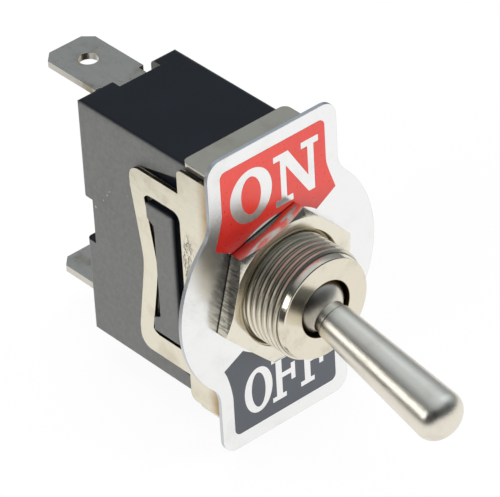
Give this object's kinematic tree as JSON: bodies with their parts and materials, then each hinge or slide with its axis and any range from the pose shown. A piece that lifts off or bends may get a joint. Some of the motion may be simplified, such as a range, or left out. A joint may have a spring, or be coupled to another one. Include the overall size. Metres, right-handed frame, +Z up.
{
  "type": "panel toggle switch",
  "caption": "Panel toggle switch with a bat lever, threaded bushing, hex nut, on-off legend plate, crimped steel frame and flat tab terminals.",
  "frame": {"origin": "on the bushing's axis, at the face of the frame that seats on the back of the panel", "axes": "-Y out of the panel along the bushing, +Y to the rear where the tabs are, +X to the right seen from the lever, +Z up towards the ON side"},
  "size_m": [0.0256, 0.0567, 0.0354],
  "materials": {
    "housing": "moulded phenolic, satin to glossy",
    "plated_sheet": "nickel-plated sheet",
    "bushing": "nickel-plated brass",
    "nut": "nickel-plated brass",
    "legend_plate": "bright sheet with painted fields",
    "insulator": "vulcanised fibre",
    "terminal": "tin-plated brass",
    "contact": "silver alloy",
    "lever": "nickel-plated, polished",
    "pin": "drawn steel",
    "plunger": "moulded nylon",
    "spring": "drawn spring wire",
    "rocker": "bare copper alloy"
  },
  "bodies": {
    "switch_base": {"housing": "housing", "mounting_bracket": "plated_sheet", "bushing": "bushing", "hex_nut": "nut", "legend_plate": "legend_plate", "front_insulator": "insulator", "common_terminal": "terminal", "load_terminal": "terminal", "fixed_contact": "contact"},
    "lever": {"lever": "lever", "lever_pin": "pin"},
    "plunger": {"plunger": "plunger", "plunger_spring": "spring"},
    "rocker": {"rocker_contact": "rocker", "moving_contact": "contact"}
  },
  "joints": [
    {"name": "lever_swing", "type": "hinge", "parent": "switch_base", "child": "lever", "pos_m": [0, -0.0048, 0], "axis": [-1, 0, 0], "range_deg": [0, 27]},
    {"name": "plunger_press", "type": "slide", "parent": "lever", "child": "plunger", "axis": [0, -0.9724, -0.2334], "range_m": [0, 0.0008], "stiffness_N_per_m": 400, "springref_m": -0.001, "deforming": ["plunger_spring"]},
    {"name": "rocker_tilt", "type": "hinge", "parent": "switch_base", "child": "rocker", "pos_m": [0, 0.012, 0], "axis": [1, 0, 0], "range_deg": [0, 16]}
  ],
  "couplings": [
    {"joint": "rocker_tilt", "follows": "lever_swing", "ratio": 0.59259}
  ]
}
